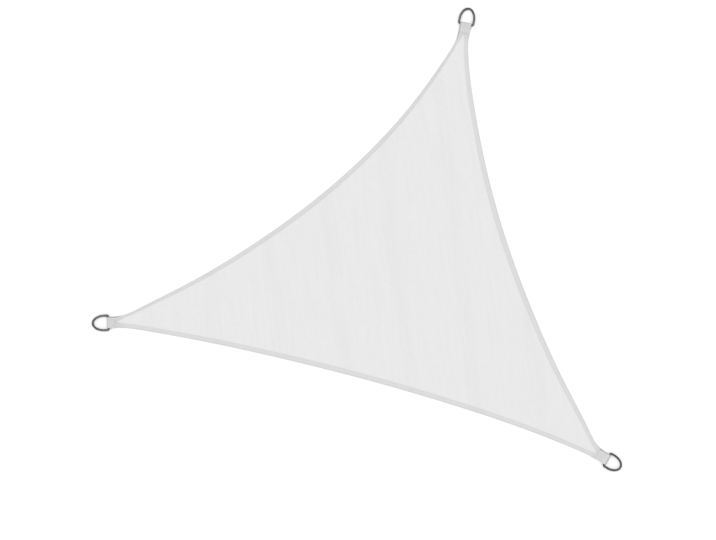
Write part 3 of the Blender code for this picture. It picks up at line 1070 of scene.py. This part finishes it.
# %% Guides for things made along a line
def guide_curve(name, lines):
    """A curve of straight steps along lines, each given as its points and whether it is closed."""
    curve = bpy.data.curves.new(name, "CURVE")
    curve.dimensions = "3D"
    for points, closed in lines:
        spline = curve.splines.new("POLY")
        spline.points.add(len(points) - 1)
        places = np.column_stack([points, np.ones(len(points))])
        spline.points.foreach_set("co", places.astype(np.float32).ravel())
        spline.use_cyclic_u = closed
    guide = bpy.data.objects.new(name, curve)
    scene.collection.objects.link(guide)
    return guide


def plain_mesh(name, guide):
    """What a guide has been made into, as a plain mesh; the guide is taken away."""
    graph = bpy.context.evaluated_depsgraph_get()
    graph.update()
    data = bpy.data.meshes.new_from_object(guide.evaluated_get(graph))
    data.name = name
    bpy.data.objects.remove(guide)
    return data


def sew(name, seams, sizes):
    """Stitches along seams, as one plain mesh."""
    guide = guide_curve(name + "_seams", seams)
    modifier = guide.modifiers.new("stitches", "NODES")
    modifier.node_group = stitch_tree
    named = {s.name: s.identifier for s in stitch_tree.interface.items_tree if s.in_out == "INPUT"}
    modifier[named["Material"]] = thread_material
    for size_name, value in sizes.items():
        modifier[named[size_name]] = value
    piece = bpy.data.objects.new(name, plain_mesh(name, guide))
    scene.collection.objects.link(piece)
    print(f"{name}: {len(seams)} seams, {len(piece.data.polygons)} faces")
    return piece


# %% Sew the hems
SEAM_CLEAR = 1.5 * MM  # the seams start this far past the end of a tab
UNDER_RISE = -0.10 * MM
UNDER_THREAD = 0.28 * MM


def seam_points(columns, from_lip, on_top):
    """Points of one row of stitches, lying in its groove, between the two tabs of an edge."""
    wander = sewing_wander(columns.run)
    place = columns.width - STITCH_INSET + wander if from_lip else STITCH_INSET + wander
    plan = columns.outer + columns.inward * place[:, None]
    height = HEM_THICKNESS - GROOVE_DEPTH if on_top else UNDER_GROOVE
    points = np.column_stack([plan, lift_at(plan) + height])
    for name in (columns.edge.start, columns.edge.end):
        points = points[from_bar(name, points[:, :2]) > CORNER[name].tab_end + SEAM_CLEAR]
    return points, False


def hem_seams(on_top):
    return [seam_points(columns, from_lip, on_top) for columns in COLUMNS for from_lip in (False, True)]


hem_stitches = sew("hem_stitches", hem_seams(True), {})
under_sizes = {"Rise": UNDER_RISE, "Thread Radius": UNDER_THREAD, "Seed": 19}
under_stitches = sew("hem_stitches_under", hem_seams(False), under_sizes)

# %% [markdown]
# ## Corner tabs
#
# Each tab is one strip of polyester webbing. Seen from the side it runs out along the floor, round the
# ring's bar and back over the cloth, where it is sewn down. The strip's cross-section, with its woven ribs
# and rounded edges, is swept along that line. The upper layer is drawn down a little where the stitches
# pull it, in a box with a cross inside.

# %% Webbing strip
RIB_COUNT = 20
POINTS_PER_RIB = 4
RIB_HEIGHT = 0.13 * MM
RIB_ROUNDING = 0.7  # under 1 makes the ribs blunter and the valleys between them narrower
SELVEDGE = 0.7 * MM
SELVEDGE_STEPS = 7
INNER_POINTS = 21
TAB_STEP = 0.9 * MM
LOOP_TURN_STEPS = 30
FALL_STEPS = 14
BOX_NEAR = 14.0 * MM
BOX_MARGIN = 2.6 * MM
BOX_HALF_WIDTH = 18.0 * MM
SEWN_START = 9.0 * MM  # the upper layer is free of the stitches' pull nearer the bar than this
STITCH_PULL = 0.22 * MM
PULL_WIDTH = 1.1 * MM
OFF_SEAMS = 1.0  # what the seam map's first value is away from the sewn layer


def tab_line(tab_end):
    """Side view of a tab's middle line: distance from the bar, and height."""
    flat = np.linspace(tab_end, 0.0, round(tab_end / TAB_STEP))[:-1]
    line = [np.column_stack([flat, np.full(len(flat), WEBBING_THICKNESS / 2)])]
    angle = -pi / 2 - pi * np.arange(LOOP_TURN_STEPS + 1) / LOOP_TURN_STEPS
    line.append(np.column_stack([LOOP_RADIUS * np.cos(angle), BAR_HEIGHT + LOOP_RADIUS * np.sin(angle)]))
    top = BAR_HEIGHT + LOOP_RADIUS
    share = np.arange(1, FALL_STEPS + 1) / FALL_STEPS
    line.append(np.column_stack([NECK_START * share, top + (UPPER_LAYER_HEIGHT - top) * smoothstep(share)]))
    sewn = np.linspace(NECK_START, tab_end, round((tab_end - NECK_START) / TAB_STEP) + 1)[1:]
    line.append(np.column_stack([sewn, np.full(len(sewn), UPPER_LAYER_HEIGHT)]))
    return np.vstack(line)


def upper_height(corner, x):
    """Height of the upper layer's outer face, at distances from the bar."""
    line = tab_line(corner.tab_end)
    upper = line[(line[:, 0] >= 0.0) & (line[:, 1] > BAR_HEIGHT / 2)]
    return np.interp(x, upper[:, 0], upper[:, 1]) + WEBBING_THICKNESS / 2


def webbing_section():
    """Closed outline of the strip's cross-section: across, and height from the middle, outer face first."""
    flat = HALF_WEBBING - SELVEDGE
    across = np.linspace(-flat, flat, RIB_COUNT * POINTS_PER_RIB + 1)
    half = WEBBING_THICKNESS / 2
    rib = np.abs(np.sin(pi * (across + flat) / (2 * flat) * RIB_COUNT))
    outer = np.column_stack([across, half - RIB_HEIGHT * (1 - rib**RIB_ROUNDING)])
    turn = np.linspace(pi / 2, -pi / 2, SELVEDGE_STEPS)[1:-1]
    edge = np.column_stack([flat + SELVEDGE * np.cos(turn), (half - RIB_HEIGHT) * np.sin(turn)])
    back = np.linspace(flat, -flat, INNER_POINTS)
    inner = np.column_stack([back, np.full(INNER_POINTS, RIB_HEIGHT - half)])
    return np.vstack([outer, edge, inner, edge[::-1] * (-1, 1)])


def box_seams(corner):
    """The box and its cross in a tab's own plan: distance from the bar, and across."""
    near, far, side = BOX_NEAR, corner.tab_end - BOX_MARGIN, BOX_HALF_WIDTH
    box = np.array([(near, -side), (far, -side), (far, side), (near, side)])
    return [(box, True), (box[[0, 2]], False), (box[[1, 3]], False)]


def seam_legs(seam, closed):
    """The straight legs of a seam, each as its two ends."""
    return list(zip(seam, np.roll(seam, -1, axis=0) if closed else seam[1:]))


def from_seams(corner, points):
    """How far points of a tab's own plan lie from the nearest seam."""
    nearest = np.full(len(points), np.inf)
    for a, b in (leg for seam in box_seams(corner) for leg in seam_legs(*seam)):
        share = np.clip(((points - a) @ (b - a)) / ((b - a) @ (b - a)), 0.0, 1.0)
        nearest = np.minimum(nearest, np.linalg.norm(points - a - share[:, None] * (b - a), axis=1))
    return nearest


def tab_strip(corner):
    """The swept strip in the tab's own frame: X from the bar towards the cloth, Y across, Z up."""
    line, section = tab_line(corner.tab_end), webbing_section()
    run = run_along(line)
    slope = unit(np.gradient(line, run, axis=0))
    normal = np.column_stack([-slope[:, 1], slope[:, 0]])  # outwards: down below the bar, up above it
    x = line[:, None, 0] + normal[:, None, 0] * section[None, :, 1]
    z = line[:, None, 1] + normal[:, None, 1] * section[None, :, 1]
    y = np.broadcast_to(section[None, :, 0], x.shape)
    points = np.dstack([x, y, z])
    sewn = (line[:, 1] > BAR_HEIGHT / 2) & (line[:, 0] >= SEWN_START)
    top = points[sewn][:, : RIB_COUNT * POINTS_PER_RIB + 1]
    away = from_seams(corner, top[..., :2].reshape(-1, 2)).reshape(top.shape[:2])
    top[..., 2] -= STITCH_PULL * np.exp(-((away / PULL_WIDTH) ** 2))
    sewn_face = np.ix_(sewn, np.arange(top.shape[1]))
    points[sewn_face] = top
    seam = np.full(x.shape, OFF_SEAMS)
    seam[sewn_face] = away
    columns, rows = x.shape
    wrap = np.arange(rows)
    first = np.arange(columns - 1)[:, None] * rows
    here, after = first + wrap, first + (wrap + 1) % rows
    faces = np.stack([here, here + rows, after + rows, after], axis=-1).reshape(-1, 4)
    over_bar = np.broadcast_to((run - run[line[:, 0].argmin()])[:, None], x.shape)
    # The map is mirrored so that the webbing's painted selvedge shadow lies on the side of the cloth's
    # painted fold shadow.
    place = np.dstack([y * NECK_FOLD_SHADOWS[corner.name].side, over_bar]).reshape(-1, 2)
    seam = np.dstack([seam, np.zeros(x.shape)]).reshape(-1, 2)
    return points.reshape(-1, 3), faces, place, seam, (columns, rows)


def to_corner(corner, points):
    """Points of a corner's own frame, set in their place on the sail."""
    return np.column_stack([corner_point(corner.name, points[:, 0], points[:, 1]), points[:, 2]])


def tab_mesh(corner):
    points, faces, place, seam, (columns, rows) = tab_strip(corner)
    placed = to_corner(corner, points)
    ends = [np.arange(rows), np.arange(rows)[::-1] + (columns - 1) * rows]
    parts = [Strip(placed, faces, place, seam)]
    parts += [Strip(placed[end], np.arange(rows)[None], place[end], seam[end]) for end in ends]
    return mesh_from(f"webbing_tab_{corner.name}", parts, ("webbing", "seams"))


print(f"webbing: {RIB_COUNT} ribs in {WEBBING_WIDTH / MM:.0f} mm")

# %% [markdown]
# ## Webbing finish
#
# The ribs are in the mesh. The weave across them, short picks that alternate from rib to rib, is a bump on
# the strip's own map: across it in X, along it in Y from the point where it turns over the bar. Faint streaks
# follow the warp. Along one selvedge a painted shadow carries on the one on the cloth's fold; a painted shade
# darkens the turn over the bar, and a painted shadow darkens the sewn lines where they sink in.

# %% Webbing material
PICK_PITCH = 1.5 * MM
FIBRE_WIDTH = 0.25 * MM
FIBRE_LENGTH = 4.0 * MM
PICK_BUMP = 0.16 * MM
WEBBING_COLOUR = (0.634, 0.634, 0.638)
WEBBING_UNEVEN = {"Streaks": 0.24, "Clouds": 0.12, "Streak Width": 6.0 * MM, "Streak Length": 30.0 * MM}
# Shares of light kept under the painted shadows in the seams, on the turn and along the selvedge, and on the
# free part of the upper layer.
SEAM_SHADOW = 0.93
TURN_SHADOW = 0.52
SELVEDGE_SHADOW = 0.50
FREE_SHADE = 0.955
SEAM_SHADOW_FADE = (0.2 * MM, 2.4 * MM)  # from a seam
TURN_SHADOW_MIDDLE = 2.0 * MM  # past the turn, towards the upper layer
TURN_SHADOW_FADE = (1.8 * MM, 4.2 * MM)  # from that middle
FREE_FADE = (15.0 * MM, 20.0 * MM)  # along the upper layer, which lies free of the cloth up to here
SELVEDGE_SHADOW_RISE = (HALF_WEBBING - 4.0 * MM, HALF_WEBBING - 2.4 * MM)  # across the strip


def make_webbing_material():
    gloss = {"Roughness": 0.6, "Sheen Weight": 0.15, "Specular IOR Level": 0.4}
    material, shader = plain_material("corner_webbing", WEBBING_COLOUR, gloss)
    nodes = Nodes(material.node_tree)
    place = nodes.uv_map("webbing")
    x, y = nodes.split(place)
    flat = HALF_WEBBING - SELVEDGE
    rib = nodes.math("FLOOR", (x + flat) / (2 * flat / RIB_COUNT))
    pick = y / PICK_PITCH + nodes.math("MODULO", rib, 2.0) * 0.5
    weave = 0.5 + 0.5 * nodes.math("COSINE", pick * (2 * pi))
    fibre = nodes.noise(nodes.stretched(place, (1 / FIBRE_WIDTH, 1 / FIBRE_LENGTH, 1.0)), 1.0, 2.0)
    seam, _ = nodes.split(nodes.uv_map("seams"))
    # Painted shadow in the sewn lines, where they sink in.
    seam_shadow = nodes.falling(seam, *SEAM_SHADOW_FADE)
    # Painted shade on the turn of the webbing over the bar.
    turn_shadow = nodes.falling(nodes.math("ABSOLUTE", y - TURN_SHADOW_MIDDLE), *TURN_SHADOW_FADE)
    free = nodes.falling(y, *FREE_FADE)
    # A painted shadow along one selvedge, carrying on the one on the cloth's fold.
    selvedge_shadow = nodes.rising(x, *SELVEDGE_SHADOW_RISE) * (1.0 - free * 0.5)
    darker = ((seam_shadow, SEAM_SHADOW), (turn_shadow, TURN_SHADOW), (selvedge_shadow, SELVEDGE_SHADOW), (free, FREE_SHADE))
    tone = shaded(uneven_tone(nodes, place, WEBBING_UNEVEN) * (0.94 + weave * 0.07), *darker)
    finish(nodes, shader, WEBBING_COLOUR, tone, 0.72 - weave * 0.2, weave + fibre * 0.35, PICK_BUMP)
    return material


webbing_material = make_webbing_material()
tabs = {}
for corner in CORNERS:
    name = f"webbing_tab_{corner.name}"
    tabs[corner.name] = add_piece(name, tab_mesh(corner), webbing_material, STRIP_SHARP_DEG)

# %% Sew the tabs
TAB_STITCH_PITCH = 3.4 * MM
TAB_STITCH_LENGTH = 0.85 * TAB_STITCH_PITCH
LEG_POINTS = 24


def tab_seams(corner):
    """The box and cross on the face of a tab's upper layer, at close steps."""
    seams = []
    for seam, closed in box_seams(corner):
        share = np.linspace(0.0, 1.0, LEG_POINTS)[:-1, None]
        points = np.vstack([a + (b - a) * share for a, b in seam_legs(seam, closed)])
        points = points if closed else np.vstack([points, seam[-1:]])
        height = upper_height(corner, points[:, 0]) - STITCH_PULL - RIB_HEIGHT / 2
        seams.append((to_corner(corner, np.column_stack([points, height])), closed))
    return seams


tab_sizes = {"Pitch": TAB_STITCH_PITCH, "Length": TAB_STITCH_LENGTH}
tab_stitches = {c.name: sew(f"tab_stitches_{c.name}", tab_seams(c), tab_sizes) for c in CORNERS}

# %% [markdown]
# ## D-rings
#
# A ring is one round steel wire: a straight bar inside the loop of webbing, two tight shoulders, and an arch
# that the fitting on the wall or the post pulls on. It is a curve with a round bevel, as in the frame, only
# with far finer steps, turned into a mesh in its place.

# %% Ring shape
SHOULDER_STEPS = 14
ARCH_STEPS = 84
WIRE_RESOLUTION = 8


def ring_line():
    """Middle line of the wire. X runs along the bar, Y from the bar to the arch."""
    angle = -pi / 2 + pi / 2 * np.arange(SHOULDER_STEPS + 1) / SHOULDER_STEPS
    bar_end = RING_HALF_WIDTH - RING_SHOULDER
    shoulder = np.column_stack([bar_end + RING_SHOULDER * np.cos(angle), RING_SHOULDER * (1 + np.sin(angle))])
    angle = pi * np.arange(ARCH_STEPS + 1) / ARCH_STEPS
    rise = RING_LENGTH - RING_LEG_TOP
    arch = np.column_stack([RING_HALF_WIDTH * np.cos(angle), RING_LEG_TOP + rise * np.sin(angle)])
    return np.vstack([shoulder, arch, shoulder[::-1] * (-1, 1)])


def ring_mesh(corner):
    line = ring_line()
    guide = guide_curve("d_ring_line", [(np.column_stack([line, np.zeros(len(line))]), True)])
    guide.data.bevel_depth = WIRE_RADIUS
    guide.data.bevel_resolution = WIRE_RESOLUTION
    data = plain_mesh(f"d_ring_{corner.name}", guide)
    at_bar = (*corner_point(corner.name, 0.0, 0.0), BAR_HEIGHT)
    turn = Matrix.Rotation(Vector(AXES[corner.name]).angle_signed(Vector((1.0, 0.0))), 4, "Z")
    # The arch points away from the cloth and leans down to the floor.
    lean = Euler((-RING_TILT, 0.0, pi / 2)).to_matrix().to_4x4()
    data.transform(Matrix.Translation(at_bar) @ turn @ lean)
    return data


print(f"ring line: {len(ring_line())} points, {RING_WIRE / MM:.0f} mm wire")

# %% [markdown]
# ## Steel
#
# The rings' steel is given a dark colour and a dark edge tint, a painted dark reflection, so that they read
# dark under the white surround; they are bright in a thin line where they catch the lamp. Drawn wire is not a
# perfect mirror: fine marks and faint cloudiness break up the highlight.

# %% Steel material
# A dark colour painted in for the dark reflections that the steel would show in a darker room.
STEEL_DARK_REFLECTION_COLOUR = (0.105, 0.105, 0.108)
STEEL_DARK_EDGE_TINT = (0.45, 0.45, 0.46, 1.0)
STEEL_UNEVEN = {"Streaks": 0.25, "Clouds": 0.15, "Streak Width": 6.0 * MM, "Streak Length": 6.0 * MM}
GRAIN_SCALE = 900.0
MARK_SCALES = (900.0, 90.0, 500.0)
STEEL_BUMP = 0.02 * MM


def make_steel_material():
    gloss = {"Roughness": 0.28, "Metallic": 1.0, "Specular Tint": STEEL_DARK_EDGE_TINT}
    material, shader = plain_material("ring_steel", STEEL_DARK_REFLECTION_COLOUR, gloss)
    nodes = Nodes(material.node_tree)
    place = nodes.object_place()
    tone = uneven_tone(nodes, place, STEEL_UNEVEN)
    grain = nodes.noise(place, GRAIN_SCALE, 3.0)
    marks = nodes.rising(nodes.noise(nodes.stretched(place, MARK_SCALES, 0.6), 1.0, 1.0), 0.60, 0.72)
    roughness = 0.20 + (grain * 0.10 + marks * 0.14)
    finish(nodes, shader, STEEL_DARK_REFLECTION_COLOUR, tone, roughness, grain + marks, STEEL_BUMP, 0.5)
    return material


steel_material = make_steel_material()
rings = {}
for corner in CORNERS:
    name = f"d_ring_{corner.name}"
    rings[corner.name] = add_piece(name, ring_mesh(corner), steel_material, STRIP_SHARP_DEG)
print("rings:", ", ".join(ring.name for ring in rings.values()))

# %% [markdown]
# ## Which piece stands for which solid
#
# Nothing on the sail moves on a joint, so every piece rides on the one body. The area that the cloth was cut
# to is worked out: a hem adds the width that it folds back.

# %% Ride and replace
def flat_area():
    """Area of the cut cloth in square metres: what shows from above, and what the hems fold back."""
    outline = np.vstack([c.outer[:-1] for c in COLUMNS])
    after = np.roll(outline, -1, axis=0)
    shown = abs((outline[:, 0] * after[:, 1] - outline[:, 1] * after[:, 0]).sum()) / 2
    hem = sum(float((np.diff(c.run) * (c.width[1:] + c.width[:-1]) / 2).sum()) for c in COLUMNS)
    return shown, hem


shown_area, hem_area = flat_area()

slots = [(piece, "shade_cloth") for piece in (sail, hem_stitches, under_stitches)]
slots += [(piece, "webbing") for piece in (*tabs.values(), *tab_stitches.values())]
slots += [(piece, "ring_steel") for piece in rings.values()]
for piece, slot in slots:
    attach(piece, "root")
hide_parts("sail_cloth")
for corner in CORNERS:
    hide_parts(f"tab_{corner.name}")
    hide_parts(f"ring_{corner.name}")
    strip_length = float(run_along(tab_line(corner.tab_end))[-1])
    print(f"tab {corner.name}: {WEBBING_WIDTH / MM:.0f} x {strip_length / MM:.0f} mm of webbing")
shown_area + hem_area
